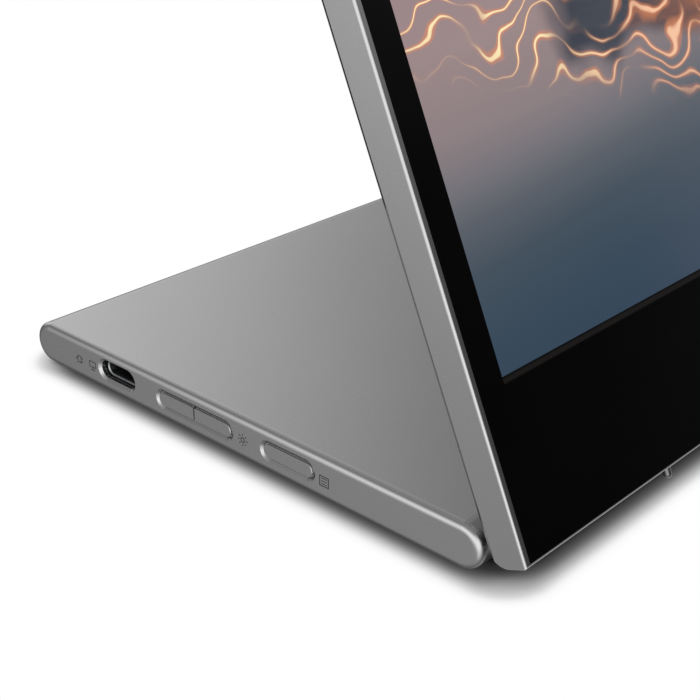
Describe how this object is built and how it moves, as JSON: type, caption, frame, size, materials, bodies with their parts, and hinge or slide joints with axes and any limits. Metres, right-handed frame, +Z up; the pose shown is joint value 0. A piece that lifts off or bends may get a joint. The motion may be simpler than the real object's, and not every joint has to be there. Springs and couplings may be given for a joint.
{
  "type": "portable monitor",
  "caption": "Slim portable monitor: the screen leans back on friction hinges in the front edge of a flat metal base that holds the sockets and keys.",
  "frame": {"origin": "on the table, under the middle of the object's outline at rest", "axes": "+X to the right as seen by the user, +Y away from the user, +Z up"},
  "size_m": [0.323, 0.118, 0.1957],
  "materials": {
    "shell_aluminium": "fine bead-blasted, anodised silver grey",
    "cover_aluminium": "fine bead-blasted, anodised",
    "knuckle_aluminium": "satin, anodised",
    "key_aluminium": "fine bead-blasted, anodised silver grey",
    "tray_aluminium": "plain sheet",
    "foot_rubber": "matt moulded",
    "screw_steel": "plated",
    "can_steel": "tinned sheet",
    "hinge_steel": "ground and oiled",
    "port_steel": "plated and drawn",
    "black_plastic": "moulded, matt",
    "circuit_board": "green solder mask",
    "ribbon_film": "amber film over copper tracks",
    "bezel_gloss": "high gloss black",
    "picture_glass": null,
    "guide_acrylic": "clear moulded"
  },
  "bodies": {
    "base": {"base_shell": "shell_aluminium", "base_cover": "cover_aluminium", "foot_front": "foot_rubber", "foot_back": "foot_rubber", "cover_screws": "screw_steel", "main_board": "circuit_board", "shield_can": "can_steel", "board_screws": "screw_steel", "io_board_left": "circuit_board", "io_board_right": "circuit_board", "port_shell_left": "port_steel", "port_tongue_left": "black_plastic", "port_shell_right": "port_steel", "port_tongue_right": "black_plastic", "key_switches": "black_plastic", "io_ribbons": "ribbon_film", "hinge_brackets_left": "hinge_steel", "hinge_brackets_right": "hinge_steel", "bracket_screws": "screw_steel"},
    "brightness_down": {"brightness_down_key": "key_aluminium", "brightness_down_plunger": "black_plastic"},
    "brightness_up": {"brightness_up_key": "key_aluminium", "brightness_up_plunger": "black_plastic"},
    "menu": {"menu_key": "key_aluminium", "menu_plunger": "black_plastic"},
    "power": {"power_key": "key_aluminium", "power_plunger": "black_plastic"},
    "screen": {"screen_housing": "shell_aluminium", "bezel_frame": "bezel_gloss", "lcd_panel": "picture_glass", "light_guide": "guide_acrylic", "panel_tray": "tray_aluminium", "driver_board": "circuit_board", "driver_ribbon": "ribbon_film", "hinge_knuckle_left": "knuckle_aluminium", "hinge_knuckle_right": "knuckle_aluminium", "hinge_pin_left": "hinge_steel", "hinge_pin_right": "hinge_steel", "hinge_washers": "hinge_steel", "hinge_nuts": "hinge_steel", "leaf_rivets": "screw_steel", "edge_domes": "foot_rubber", "back_bumpers": "foot_rubber"}
  },
  "joints": [
    {"name": "screen_hinge", "type": "hinge", "parent": "base", "child": "screen", "pos_m": [0, -0.04686, 0.00465], "axis": [1, 0, 0], "range_deg": [-66, 13]},
    {"name": "brightness_down_press", "type": "slide", "parent": "base", "child": "brightness_down", "axis": [1, 0, 0], "range_m": [0, 0.0004], "stiffness_N_per_m": 1500, "springref_m": -0.0002},
    {"name": "brightness_up_press", "type": "slide", "parent": "base", "child": "brightness_up", "axis": [1, 0, 0], "range_m": [0, 0.0004], "stiffness_N_per_m": 1500, "springref_m": -0.0002},
    {"name": "menu_press", "type": "slide", "parent": "base", "child": "menu", "axis": [1, 0, 0], "range_m": [0, 0.0004], "stiffness_N_per_m": 1500, "springref_m": -0.0002},
    {"name": "power_press", "type": "slide", "parent": "base", "child": "power", "axis": [-1, 0, 0], "range_m": [0, 0.0004], "stiffness_N_per_m": 1500, "springref_m": -0.0002}
  ]
}
